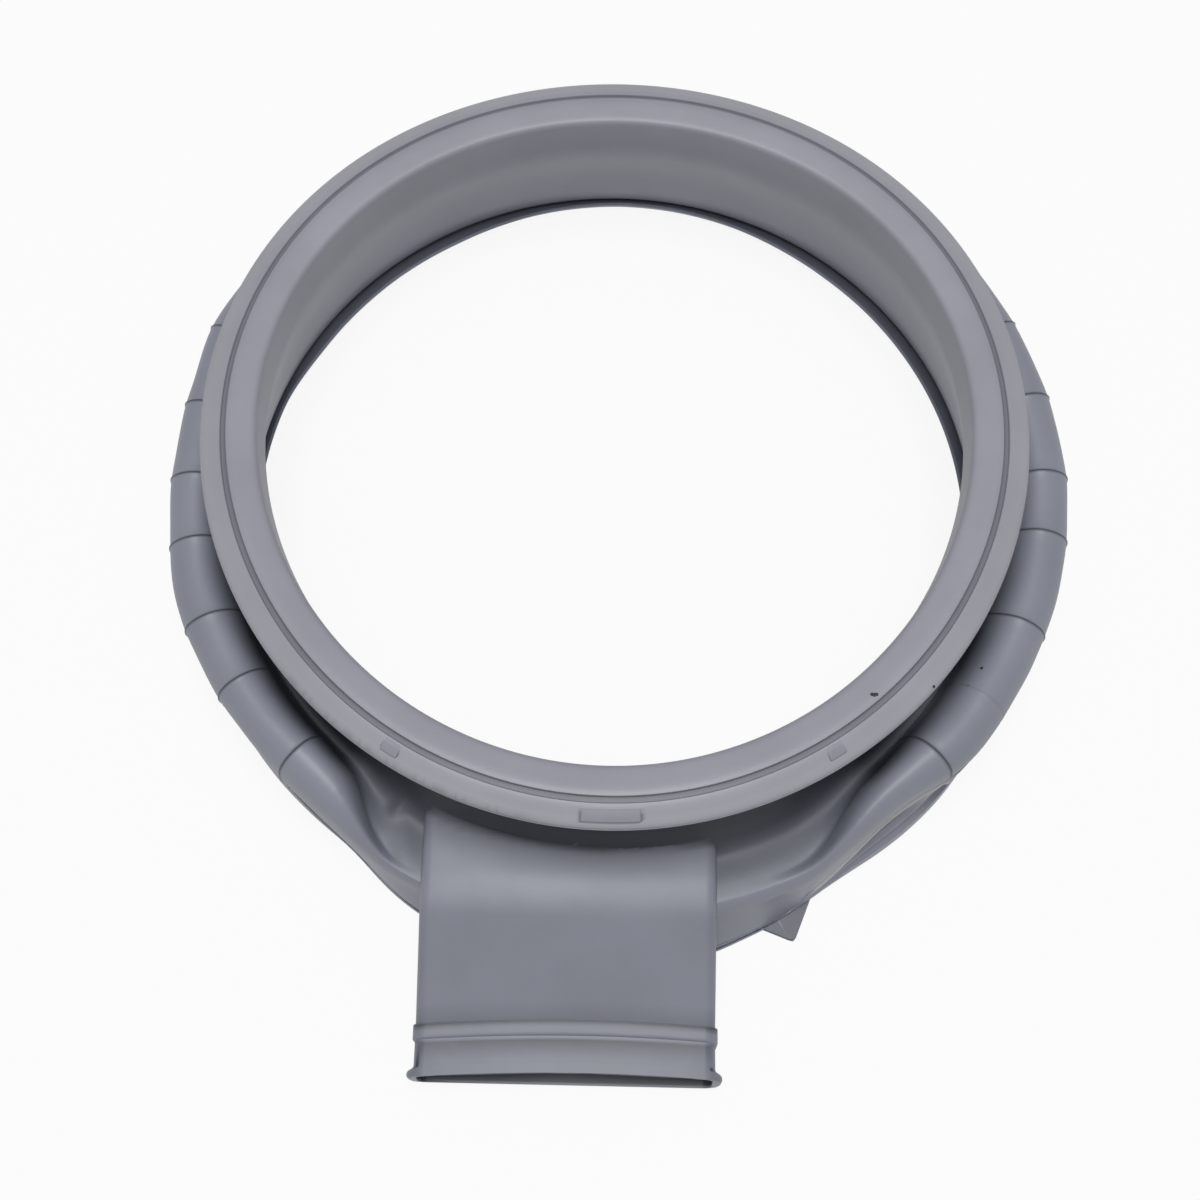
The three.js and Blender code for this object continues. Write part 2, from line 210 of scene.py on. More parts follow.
def sectionValues(angle):
    # what changes in the section round the seal
    s = seal
    side = np.abs(angle)
    tables = ("crease", "crest", "top", "out", "edge", "rim", "lip")
    at = SimpleNamespace(**{name: bothSides(*s[name], angle) for name in tables})
    at.lip = s["lipRadius"] + at.lip
    at.rolled = ease((side - s["shelfEnd"]) / s["rollSpan"])
    at.near = 1.0 - at.rolled
    at.steep = ease((side - s["steepStart"]) / s["steepSpan"])
    at.valley = s["valley"] - s["valleyDrop"] * at.near
    at.fall = np.minimum(np.interp(side, *s["knee"]), at.top - at.edge - 2)
    share = at.edge / np.maximum(1, at.top - at.fall)
    wallRadius = at.out + (at.rim - at.out) * (1 - share)
    at.edgeRadius = wallRadius * at.near + (at.out - 0.6) * at.rolled
    at.under = np.minimum(at.edgeRadius - 1.2 * at.rolled, at.rim)
    at.fin = s["fin"] * np.clip((angle - s["finStart"]) / 2, 0, 1)
    at.fin = at.fin * np.clip((s["finEnd"] - angle) / 3, 0, 1)
    return at


def ringPoints(at):
    # inner band, groove, outer band and edge, then the sleeve's outer wall down to the fold.
    # A section's points are (radius, height, corner, steps to the next point)
    s = seal
    bandTop = s["edgeHeight"] + s["bandRise"]
    innerTop = bandTop + s["innerRise"]
    grooveIn = s["grooveRadius"] - s["grooveWidth"] / 2
    grooveOut = s["grooveRadius"] + s["grooveWidth"] / 2
    inner, ring, edge, wall = s["ringInner"], s["ringOuter"], s["edgeHeight"], s["wall"]
    high, middle, low, _ = s["sleeveHeights"]
    near, valley = at.near, at.valley
    return [
        (inner + 0.35, innerTop - 4.6, 0, 2),
        (inner + 0.75, innerTop - 3.0, 0, 2),
        (inner + 2.0, innerTop - 1.9, 0, 2),
        (inner + 4.2, innerTop - 1.3, 0, 2),
        (grooveIn - 5.0, innerTop - 0.45, 0, 2),
        (grooveIn - 0.7, innerTop, 0, 1),
        (grooveIn - 0.15, innerTop - 0.12, 0, 1),
        (grooveIn + 0.08, innerTop - 0.6, 0, 1),
        (grooveIn + 0.2, innerTop - s["grooveDepth"] - 0.5, 1, 2),
        (grooveOut - 0.35, bandTop - s["grooveDepth"], 1, 1),
        (grooveOut - 0.12, bandTop - 0.55, 0, 1),
        (grooveOut + 0.25, bandTop - 0.2, 0, 2),
        (grooveOut + 4.6, bandTop - 1.85, 0, 2),
        (ring - 1.5, edge + 0.5, 0, 1),
        (ring - 0.5, edge - 0.05, 0, 1),
        (ring - 0.05, edge - 0.95, 0, 1),
        (ring - 0.05, edge - 1.5, 1, 1),
        (ring + 0.3, edge - 1.7, 1, 1),
        (ring - 0.15, edge - 1.95, 1, 1),
        (ring - 0.35, edge - 2.7, 0, 1),
        (ring - 1.0, edge - 3.3, 0, 1),
        (ring - 2.2, edge - 3.5, 0, 2),
        (sleeveRadius(high) + wall + 5.0, edge - 5.2, 0, 2),
        (sleeveRadius(high) + wall + 1.4, edge - 6.8, 0, 2),
        (sleeveRadius(middle) + wall + 0.2, edge - 11.0, 0, 2),
        (sleeveRadius(low) + wall, low, 0, 2),
        (sleeveRadius(valley + 16) + wall + 0.6 * near, valley + 16.0, 0, 3),
        (sleeveRadius(valley) + wall + 0.6 + 2 * near, valley + 5 + 3 * near, 0, 3),
        (sleeveRadius(valley) + wall + 2.4 + 5 * near, valley + 0.8, 0, 8),
        (at.crease - 1.4, valley, 0, 2),
    ]


def rollPoints(at):
    # up the roll's inner flank, over its crest and down to its side
    steep = at.steep
    flank = at.top - at.valley
    points = []
    for t in seal["flankShares"]:
        a = t * math.pi / 2
        reach = (1 - math.cos(a)) * steep + t * (1 - steep)
        rise = math.sin(a) * steep + float(ease(t)) * (1 - steep)
        points.append((at.crease + (at.crest - at.crease) * reach, at.valley + flank * rise, 0, 3))
    points.append((at.crest, at.top, 0, 3))
    for t, steps in seal["crownSteps"]:
        a = t * math.pi / 2
        radius = at.crest + (at.out - at.crest) * math.sin(a)
        points.append((radius, at.top - at.fall * (1 - math.cos(a)), 0, steps))
    return points


def rimPoints(at):
    # flash at the roll's edge, the clamp's seat, the rear rim and the lip
    s = seal
    edgeR, edge, rim, lip = at.edgeRadius, at.edge, at.rim, at.lip
    high = np.minimum(s["seatHigh"], edge * 0.72)
    low = np.minimum(s["seatLow"], edge * 0.4)
    stem = np.minimum(at.under, rim - 0.6)
    seat = rim - s["seatDepth"] * at.rolled
    return [
        (edgeR, edge + 0.5, 1, 1),
        (edgeR + 0.1 + at.fin, edge + 0.1, 1, 1),
        (edgeR - 0.1, edge - 0.4, 1, 1),
        (at.under, edge - 1.4, 1, 2),
        (stem + (rim - stem) * (1 - high / np.maximum(edge, 1)), high, 1, 1),
        (seat - 0.8, high - 1.4, 0, 1),
        (seat - 0.4, low + 1.2, 0, 1),
        (rim, low, 1, 2),
        (rim, 0.6, 0, 1),
        (rim - 0.6, 0.0, 1, 2),
        (s["rimInner"], 0.0, 1, 2),
        (lip + 0.2, s["lipHeight"] - s["lipThickness"], 0, 1),
        (lip, s["lipHeight"] - 0.4, 0, 1),
        (lip + 1.2, s["lipHeight"], 0, 1),
        (s["rimInner"] + 3, s["rimThickness"] + 0.6, 0, 1),
    ]


def hollowPoints(at):
    # the hollow behind the roll, then the sleeve's rear edge and inner wall
    s = seal
    wall, thick = s["wall"], s["rimThickness"]
    rear, rearZ, upper = s["rearRadius"], s["rearHeight"], s["sleeveHeights"][-1]
    floor, top = at.valley - wall, at.top - wall
    inner = np.minimum(np.minimum(at.out, at.rim), at.under) - wall - s["seatDepth"]
    outer = np.minimum(at.out, at.edgeRadius) - wall
    side = np.maximum(at.top - at.fall - 1, thick + 9)
    crest = np.minimum(at.crest, outer - 2)
    crease = np.minimum(at.crease + wall, crest - 1.5)
    return [
        (inner - 2, thick, 1, 1),
        (np.minimum(outer, inner + 1.5), np.maximum(at.edge * 0.8, thick + 6), 0, 1),
        (outer, side, 0, 1),
        (crest + (outer - crest) * 0.72, side + (top - side) * 0.68, 0, 1),
        (crest, top, 0, 1),
        (crease + (crest - crease) * 0.3, floor + (top - floor) * 0.72, 0, 1),
        (crease, floor + (top - floor) * 0.25, 0, 1),
        (crease - 2.5, floor, 0, 1),
        (sleeveRadius(floor) + wall + 2, floor, 0, 1),
        (sleeveRadius(floor - 4) + wall, floor - 4, 0, 2),
        (rear + wall, rearZ + 3, 0, 1),
        (rear + wall - 0.5, rearZ + 0.6, 0, 1),
        (rear + wall / 2, rearZ, 0, 1),
        (rear + 0.3, rearZ + 0.8, 0, 1),
        (rear - 0.5, rearZ + 3.2, 0, 3),
        (sleeveRadius(upper), upper, 0, 4),
    ]


def sealSection(angle):
    # the closed section, and where the roll starts and ends in it
    at = sectionValues(angle)
    ring, roll = ringPoints(at), rollPoints(at)
    points = ring + roll + rimPoints(at) + hollowPoints(at)
    return points, len(ring), len(ring) + len(roll)


def sweepSection(angle):
    # smooth curves through the section's points, with a tag that counts the points
    points, roll0, roll1 = sealSection(angle)
    count = len(points)
    base = np.ones_like(angle)
    keys = np.stack([np.stack([p[0] * base, p[1] * base], -1) for p in points], 1)
    nextKeys = np.roll(keys, -1, 1)
    span = np.maximum(np.linalg.norm(nextKeys - keys, axis=-1, keepdims=True), 1e-6)
    lastSpan = np.roll(span, 1, 1)
    ahead = (nextKeys - keys) / span
    behind = np.roll(ahead, 1, 1)
    slope = (behind * span + ahead * lastSpan) / (span + lastSpan)
    corner = np.array([p[2] for p in points], bool)
    leave = np.where(corner[None, :, None], ahead, slope)
    arrive = np.where(corner[None, :, None], behind, slope)
    rows, tags = [], []
    for i, (_, _, _, steps) in enumerate(points):
        j = (i + 1) % count
        h = span[:, i]
        for t in np.arange(steps) / steps:
            rows.append((2 * t**3 - 3 * t**2 + 1) * keys[:, i]
                        + (t**3 - 2 * t**2 + t) * h * leave[:, i]
                        + (3 * t**2 - 2 * t**3) * keys[:, j]
                        + (t**3 - t**2) * h * arrive[:, j])
            tags.append(i + t)
    return np.stack(rows, 1), np.array(tags), roll0, roll1


def ringLobes(angle):
    turn = np.radians(angle)
    return seal["threeLobe"] * np.cos(3 * turn) + seal["twoLobe"] * np.cos(2 * turn)


def bandFace(radius):
    # the outer band's height under the raised marks
    start = seal["grooveRadius"] + seal["grooveWidth"] / 2
    share = (radius - start) / (seal["ringOuter"] - 1.4 - start)
    return seal["edgeHeight"] + seal["bandRise"] - 0.5 - (seal["bandRise"] - 1) * share


def restShape(angle, radius, height):
    # how far the soft rubber stands from its round shape
    ringShare = ease((height - seal["lobeHeight"]) / seal["lobeSpan"])
    outside = ease((radius - seal["growRadius"]) / seal["growSpan"])
    rollShare = outside * ease(height / seal["growHeight"]) * (1 - ringShare)
    lobes = ringLobes(angle)[:, None]
    growth = bothSides(*seal["swell"], angle)[:, None]
    draw = seal["drawIn"] * outside * (1 - ringShare)
    return lobes * ringShare + growth * rollShare - draw


def sealMesh():
    s = seal
    angle = stationAngles()
    section, tags, roll0, roll1 = sweepSection(angle)
    radius, height = section[..., 0], section[..., 1]
    radius = radius + restShape(angle, radius, height)
    rolled = ease((np.abs(angle) - s["linesStart"]) / s["linesSpan"])[:, None]
    onRoll = between(tags, roll0 - 1.5, roll1 + 0.6, 2.0, 0.8)[None, :]
    gap = nearestLine(angle)[:, None]
    faint = 1 - s["faintShare"] * bell(angle - s["faintLine"], s["faintWidth"])[:, None]
    line = bell(gap, s["lineWidth"]) * rolled * onRoll * faint
    bulge = (1 - bell(gap, s["bulgeWidth"])) * rolled * onRoll
    edgeTag = bell(tags - roll1 - 1, 0.7)[None, :]
    radius = radius + s["nub"] * bell(gap, s["nubWidth"]) * rolled * edgeTag
    ahead = np.roll(section, -1, 1) - np.roll(section, 1, 1)
    length = np.maximum(np.linalg.norm(ahead, axis=-1), 1e-6)
    normalR, normalZ = -ahead[..., 1] / length, ahead[..., 0] / length
    depth = -s["lineDepth"] * line + s["bulge"] * bulge
    radius = radius - normalR * depth
    height = height - normalZ * depth
    verts = place(radius, angle[:, None] + 0.0 * radius, height)
    onTop = between(tags, roll0 - 3.0, roll1 + 0.5, 1.0, 1.0)[None, :]
    for start, end, tall, wide in s["bumps"]:
        away = distanceToLine(verts[..., :2], np.array(start), np.array(end))
        verts[..., 2] += tall * bell(away, wide) * onTop
    return verts, surfaceMarks(angle, tags, line, rolled, roll0, roll1)


def distanceToLine(spots, start, end):
    along = end - start
    share = np.clip(((spots - start) @ along) / (along @ along), 0.0, 1.0)
    return np.linalg.norm(spots - start - share[..., None] * along, axis=-1)


# how strongly each mark shows, from 0 to 1, and where: painted shade, painted highlights, dark
# lines and the wear on the ring's edge. Spans count the section's points, angles are in degrees
# and the rest is in mm
shadeAndWearLevels = {
    "grooveSpan": (6.5, 10.4),
    "grooveEdges": (8.0, 9.6),
    "grooveShade": 0.30,
    "grooveEdgeShade": 0.35,
    "wornAngles": (-52.0, -6.0),      # the ring's lower left edge
    "wornFade": 8.0,
    "wornSpan": (12.6, 20.5),
    "wornShade": 0.16,
    "dashPoint": 13.6,
    "dashShade": 0.30,
    "splitAngle": 18.5,               # fine line right of the duct
    "splitWidth": 0.2,
    "splitSpan": (2.5, 6.5),          # after the roll's edge
    "splitShade": 0.8,
    "openAngle": 52.0,                # the fold lets more light in here
    "openWidth": 6.0,
    "openShare": 0.5,
    # painted shade in the fold starts at this point of the section
    "paintedShadeStart": 24.8,
    # painted highlight along the roll's right lower edge
    "edgeHighlightAngles": (25.0, 49.0),
    # painted highlight on the ring's outer band
    "bandSpan": (10.5, 15.5),
    "bandHighlight": 0.24,
    # painted shade: the duct's channel is painted dark, less so at the mouth
    "channelStart": -176.0,           # the duct's channel is dark from here to its mouth
    "mouthShade": 0.2,
    "ductStart": -196.0,
    # painted shade at the duct's band and seat steps, and on its slope and seat
    "bandLine": 0.85,
    "bandShade": 0.26,
    "seatLine": 0.9,
    "ductShade": 0.16,
    "seatShade": 0.12,
    "foldReach": 4.0,
    "foldTop": 100.0,
    # painted shade on the tab at the rear rim
    "tabShade": 0.70,
    "tabAngle": 22.8,
    # painted shadow at the foot of the raised marks
    "footShade": 0.6,                 # dark line at the foot of the raised marks
    "footHeight": 105.0,
    "footAngle": 35.0,
}


def surfaceMarks(angle, tags, line, rolled, roll0, roll1):
    # painted shade in the mould lines, the groove and the folds, dark wear on the ring's edge, and
    # painted highlights
    w = shadeAndWearLevels
    at, tag = angle[:, None], tags[None, :]
    groove = between(tag, *w["grooveSpan"], 0.8, 0.8)
    grooveEdge = sum(bell(tag - edge, 0.5) for edge in w["grooveEdges"])
    wearAndShade = between(at, *w["wornAngles"], w["wornFade"], w["wornFade"])
    wearAndShade = wearAndShade * between(tag, *w["wornSpan"], 0.6, 1.5)
    wave = np.sin(at * 3.1 + 2 * np.sin(at * 1.3)) * 1.6
    dashes = ease(wave - 0.4) * bell(tag - w["dashPoint"], 0.9)
    splitStart, splitEnd = (roll1 + step for step in w["splitSpan"])
    split = bell(at - w["splitAngle"], w["splitWidth"]) * between(tag, splitStart, splitEnd, 1, 1)
    # painted shade in the groove, at its edges and in the mould lines' pinches
    dark = w["grooveShade"] * groove + w["grooveEdgeShade"] * np.minimum(grooveEdge, 1.0)
    dark = np.maximum(line, dark)
    dark = np.maximum(dark, wearAndShade * (w["wornShade"] + w["dashShade"] * dashes))
    dark = np.maximum(dark, w["splitShade"] * split)
    # painted shade in the fold under the ring and on the shelf beside the duct, lighter where the
    # fold opens
    openFold = 1 - w["openShare"] * bell(at - w["openAngle"], w["openWidth"])
    rollShade = ease((roll0 + 3.2 - tag) / 3.0) * openFold
    shelfTags = [26.5, 28, 29, roll0 + 1, roll0 + 3, roll0 + 5]
    shelfShade = np.interp(tag, shelfTags, [1, 0.7, 0.46, 0.34, 0.18, 0])
    paintedShade = ease((tag - w["paintedShadeStart"]) / 1.2) * (rolled * rollShade + (1 - rolled) * shelfShade)
    # painted highlights along the roll's right lower edge and on the ring's outer band
    paintedHighlight = ease(1.8 - np.abs(tag - roll1 - 1)) * between(at, *w["edgeHighlightAngles"], 2, 3)
    paintedHighlight = np.maximum(paintedHighlight, w["bandHighlight"] * between(tag, *w["bandSpan"], 1.5, 1.5))
    return {"line": dark, "paintedShade": paintedShade, "paintedHighlight": paintedHighlight}


def ringFaces(rows, columns, closed):
    spans = rows if closed else rows - 1
    i, j = np.meshgrid(np.arange(spans), np.arange(columns), indexing="ij")
    k, n = (j + 1) % columns, (i + 1) % rows
    quads = np.stack([i * columns + j, i * columns + k, n * columns + k, n * columns + j], -1)
    return quads.reshape(-1, 4).tolist()


def makeObject(name, verts, closed):
    # rows of points joined to a skin, closed round or capped at both ends
    rows, columns = verts.shape[:2]
    faces = ringFaces(rows, columns, closed)
    if not closed:
        faces.append(list(range(columns)))
        faces.append(list(range((rows - 1) * columns, rows * columns)))
    mesh = bpy.data.meshes.new(name)
    mesh.from_pydata(((verts.reshape(-1, 3) + ringCentre) * mm).tolist(), [], faces)
    work = bmesh.new()
    work.from_mesh(mesh)
    bmesh.ops.recalc_face_normals(work, faces=work.faces)
    if work.calc_volume(signed=True) < 0:
        bmesh.ops.reverse_faces(work, faces=work.faces)
    work.to_mesh(mesh)
    work.free()
    piece = bpy.data.objects.new(name, mesh)
    bpy.context.scene.collection.objects.link(piece)
    return piece


def combine(target, other, operation):
    change = target.modifiers.new("combine", "BOOLEAN")
    change.operation = operation
    change.solver = "EXACT"
    change.object = other
    with bpy.context.temp_override(object=target, active_object=target, selected_objects=[target]):
        bpy.ops.object.modifier_apply(modifier=change.name)
    bpy.data.objects.remove(other)


duct = {
    "centreX": -16.0,
    "width": 129.0,
    "topHeight": 44.0,
    "thickness": 22.0,
    "wall": 2.5,
    "lipThin": 1.1,          # wall left at the mouth's top and bottom
    "cornerRadius": 5.0,
    "leastRadius": 2.0,
    "crown": 1.6,
    "startY": -150.0,
    "channelStartY": -140.0,
    "channelPast": 4.0,      # how far the channel's cut runs past the mouth
    "firstY": -148.0,
    "bendY": -199.0,
    "bendReach": 9.0,
    "slopeTrim": 1.5,
    "bandY": -250.4,
    "bandWidth": 6.7,
    "bandProud": 1.1,
    "bandLift": 0.8,
    "bandOver": 1.2,         # top at the band over top at the mouth
    "mouthY": -272.2,
    "mouthTop": 25.3,
    "rimProud": 3.2,
    "rimWidth": 3.9,
    "lean": 0.15,            # radians
    "bow": 1.9,
    "tilt": 0.6,
    "bowStart": -222.0,
    "bowSpan": 22.0,
    # steps along the duct from each edge, with the share of the growth
    "bandSteps": ((1.1, 0.0), (0.35, 0.05), (0.1, 0.8), (-0.4, 1.0), (-3.0, 1.0)),
    "seatSteps": ((1.2, 1.0), (0.4, 1.0), (0.0, 0.75), (-0.25, 0.0), (-0.9, 0.0), (-2.0, 0.0)),
    "rimSteps": ((1.6, 0.0), (0.5, 0.04), (0.0, 0.16), (-0.7, 0.7), (-1.5, 0.97)),
    "mouthSteps": ((1.2, 1.0), (0.4, 0.85), (0.0, 0.55)),
    "cornerSides": 8,
    "topSides": 16,
    "floorSides": 8,
}


def ductOutline(width, height, radius, crown):
    # a rounded box with a crowned top
    w, h = width / 2 - radius, height / 2 - radius
    sides = duct["cornerSides"]
    points = []
    for x, y, start in ((w, h, 0), (-w, h, 90), (-w, -h, 180), (w, -h, 270)):
        for i in range(sides + 1):
            a = math.radians(start + 90 * i / sides)
            points.append((x + radius * math.cos(a), y + radius * math.sin(a)))
        if start == 0:
            for t in np.linspace(1, -1, duct["topSides"] + 1)[1:-1]:
                points.append((w * t, h + radius + crown * (1 - t * t)))
        elif start == 180:
            for t in np.linspace(-1, 1, duct["floorSides"] + 1)[1:-1]:
                points.append((w * t, -h - radius))
    return points


def ductTopHeight(y):
    # level to the bend, then sloping to the band and the mouth
    d = duct
    start, end = d["bendY"] + d["bendReach"], d["bendY"] - d["bendReach"]
    bandTop = d["mouthTop"] + d["bandOver"]
    slope = (d["topHeight"] - bandTop) / (d["bendY"] - d["bandY"] - d["slopeTrim"])
    if y >= start:
        return d["topHeight"]
    if y > end:
        t = (start - y) / (start - end)
        return d["topHeight"] - slope * (start - end) * t * t / 2
    if y >= d["bandY"]:
        low = d["topHeight"] - slope * (start - end) / 2
        return low + (bandTop - low) * (end - y) / (end - d["bandY"])
    t = (d["bandY"] - y) / (d["bandY"] - d["mouthY"] - d["rimWidth"])
    return bandTop + (d["mouthTop"] - bandTop) * min(1.0, t)


def ductStations():
    # y, growth of the sides, lean, share of the growth at the top, wall
    d = duct
    wall, half, full = d["wall"], d["lean"] / 2, d["lean"]
    bendStart, bendEnd = d["bendY"] + d["bendReach"], d["bendY"] - d["bendReach"]
    level = np.append(np.linspace(d["firstY"], bendStart + 1, 28),
                      np.linspace(bendStart, bendEnd, 10))
    rows = [(y, 0.0, 0.0, 0.0, wall) for y in level]
    slope = np.linspace(bendEnd - 5, d["bandY"] + 2.4, 7)
    rows += [(y, 0.0, half * t, 0.0, wall) for t, y in zip(np.linspace(0.2, 1, 7), slope)]
    for y, lean, steps in ((d["bandY"], half, d["bandSteps"]),
                           (d["bandY"] - d["bandWidth"], full, d["seatSteps"])):
        rows += [(y + step, d["bandProud"] * share, lean, d["bandLift"], wall)
                 for step, share in steps]
    for y, steps in ((d["mouthY"] + d["rimWidth"], d["rimSteps"]),
                     (d["mouthY"], d["mouthSteps"])):
        rows += [(y + step, d["rimProud"] * share, full, 0.0, d["lipThin"])
                 for step, share in steps]
    return rows


def topShift(across, y):
    # the top's cross lines bow and tilt a little toward the mouth
    t = across / (duct["width"] / 2)
    share = ease((duct["bowStart"] - y) / duct["bowSpan"])
    return (duct["tilt"] * t - duct["bow"] * t * t) * share


def ductVerts(hollow, startY, endY):
    d = duct
    stations = ductStations()
    ends = {0: startY, len(stations) - 1: endY}
    rows = []
    for index, (y, growth, lean, lift, wall) in enumerate(stations):
        grow, into = (0.0, wall) if hollow else (growth, 0.0)
        height = d["thickness"] - 2 * into + 2 * grow * lift
        width = d["width"] - 2 * into + 2 * grow
        radius = max(d["leastRadius"], d["cornerRadius"] - into + grow)
        centre = ductTopHeight(y) - d["thickness"] / 2
        at = ends.get(index, y)
        row = []
        for x, up in ductOutline(width, height, radius, d["crown"]):
            high = 0.5 + 0.5 * up / (height / 2)
            row.append((d["centreX"] + x, at + up * math.sin(lean) + topShift(x, y) * high,
                        centre + up * math.cos(lean)))
        rows.append(row)
    return np.array(rows)


def sleevePlug(clearance):
    # fills the inside of the sleeve, so the duct ends in the sleeve's wall
    angle = stationAngles()[::2]
    axis, low, high = 1.0, -10.0, 120.0
    lowR, highR = sleeveRadius(low) + clearance, sleeveRadius(high) + clearance
    corners = [(axis, low), (lowR, low), (highR, high), (axis, high)]
    return np.stack([place(r + 0 * angle, angle, z) for r, z in corners], 1)


# raised marks on the outer band, and the tab on the rear rim
marks = {
    "bottomWidth": 24.0,
    "bottomAngle": 0.5,
    "bottomOut": 1.3,        # how much further out the bottom mark stands
    "sideWidth": 7.8,
    "leftAngle": -29.9,
    "rightAngle": 31.5,
    "fromGroove": 1.2,
    "length": 4.8,
    "proud": 0.8,
    "chamfer": 0.35,
    "brow": 0.3,
    "sunk": 1.5,
    "endShare": 0.97,
    "tabAngles": (19.0, 21.7, 22.1, 22.5, 26.6),
    "tabRoot": 8.0,          # how far it reaches into the rim
    "tabTip": 227.0,
    "tabThickness": 2.6,
}


def markVerts(angle, width, outward):
    m = marks
    inner = seal["grooveRadius"] + seal["grooveWidth"] / 2 + m["fromGroove"] + outward
    middle = inner + m["length"] / 2
    slope, brow, end = m["chamfer"], m["brow"], m["endShare"]
    shares = [-1.0, *np.linspace(-end, 0.0, 6)[:-1], *np.linspace(0.0, end, 7), 1.0]
    rows = []
    for share in shares:
        inset = slope if abs(share) == 1.0 else 0.0
        at = angle + math.degrees(share * width / 2 / middle)
        a, b = inner + inset, inner + m["length"] - inset
        ring = [(r, bandFace(r) - m["sunk"]) for r in (a, b)]
        ring += [(r, bandFace(r) + m["proud"] - drop - inset)
                 for r, drop in ((b, brow), (b - slope, 0.0), (a + slope, 0.0), (a, brow))]
        rows.append([place(np.float64(r + ringLobes(at)), at, z) for r, z in ring])
    return np.array(rows)


def tabVerts():
    rim, tip, thick = seal["rimOuter"], marks["tabTip"], marks["tabThickness"]
    a0, a1, a2, a3, a4 = marks["tabAngles"]
    root = rim - marks["tabRoot"]
    corners = [(root, a0), (rim + 8, a0), (tip - 1, a1), (tip, a2), (tip - 0.8, a3),
               (rim + 2.4, a4), (root, a4)]
    rows = []
    for height, inset in ((0.0, 0.4), (0.4, 0.0), (thick - 0.5, 0.0), (thick, 0.5)):
        rows.append([place(np.float64(r - (inset if r > root else 0)), a, height)
                     for r, a in corners])
    return np.array(rows)


def ductMarks(spots):
    # painted shade: the channel is painted dark, the band and the seat get painted dark lines at
    # their steps, and the slope and seat are painted darker
    d, w = duct, shadeAndWearLevels
    slack = 0.3
    across = spots[:, 0] - d["centreX"]
    top = np.array([ductTopHeight(y) for y in spots[:, 1]])
    half = d["width"] / 2 - d["lipThin"] + 0.1
    up = spots[:, 2] - (top - d["thickness"] / 2)
    thin = np.where(spots[:, 1] < d["mouthY"] + 5, d["lipThin"], d["wall"])
    roof = d["thickness"] / 2 - thin + slack + d["crown"] * (1 - (across / half) ** 2)
    floor = -d["thickness"] / 2 + thin - slack
    inside = (spots[:, 1] < w["channelStart"]) & (np.abs(across) < half)
    inside = inside & (up < roof) & (up > floor)
    high = np.clip(0.5 + up / d["thickness"], 0, 1)
    y = spots[:, 1] - topShift(across, spots[:, 1]) * high
    dark = inside * np.where(y - up * d["lean"] < d["mouthY"] + 0.5, w["mouthShade"], 1.0)
    onDuct = (np.abs(across) < half + 8) & (spots[:, 1] < w["ductStart"]) & (up > 0) & ~inside
    end = d["bandY"] - d["bandWidth"]
    # painted shade in lines at the band's and the seat's steps
    lines = w["bandLine"] * bell(y - d["bandY"] - 0.3, 0.6)
    lines += w["bandShade"] * bell(y - d["bandY"] - 2.4, 1.6) + w["seatLine"] * bell(y - end, 0.6)
    # painted shade on the slope down to the mouth and on the seat
    slopeShade = w["ductShade"] * ease((-200 - y) / 10) + w["seatShade"] * ease((end - y) / 2)
    return dark, onDuct * lines, onDuct * slopeShade


def paintMarks(piece, verts, wearAndShade):
    # each mark is read from the loft's nearest point, so joining leaves no trace in it
    w = shadeAndWearLevels
    count = len(piece.data.vertices)
    spots = np.zeros(count * 3, np.float32)
    piece.data.vertices.foreach_get("co", spots)
    spots = spots.reshape(-1, 3) / mm - ringCentre
    loft = verts.reshape(-1, 3)
    tree = KDTree(len(loft))
    for index, spot in enumerate(loft):
        tree.insert(spot, index)
    tree.balance()
    found = [tree.find(spot) for spot in spots]
    nearest = np.array([hit[1] for hit in found])
    far = np.array([hit[2] for hit in found])
    height = spots[:, 2]
    radius = np.hypot(spots[:, 0], spots[:, 1])
    turn = np.degrees(np.arctan2(spots[:, 0], -spots[:, 1]))
    # painted shade in the duct's channel, on its slope and seat, beside the folds and on the tab
    inside, lines, slopeShade = ductMarks(spots)
    # painted shade of the fold, carried over to the joined points beside it
    foldShade = ease((w["foldReach"] - far) / w["foldReach"]) * (height < w["foldTop"])
    foldShade = wearAndShade["paintedShade"].ravel()[nearest] * foldShade
    onTab = (np.abs(turn - w["tabAngle"]) < 5) * (height < 4) * (radius > seal["rimOuter"] - 9)
    paintedShade = np.max([inside, slopeShade, foldShade, w["tabShade"] * onTab], 0)
    above = height - bandFace(radius - ringLobes(turn))
    # painted shadow at the foot of the raised marks
    foot = (height > w["footHeight"]) * (np.abs(turn) < w["footAngle"])
    foot = foot * (above < marks["proud"] - 0.5)
    elsewhere = {"paintedShade": paintedShade, "line": np.maximum(lines, w["footShade"] * foot)}
    for key, values in wearAndShade.items():
        plain = elsewhere.get(key, np.zeros(count))
        level = np.where(far < 0.05, values.ravel()[nearest], plain)
        layer = piece.data.attributes.new(key, "FLOAT", "POINT")
        layer.data.foreach_set("value", np.ascontiguousarray(np.clip(level, 0, 1), np.float32))


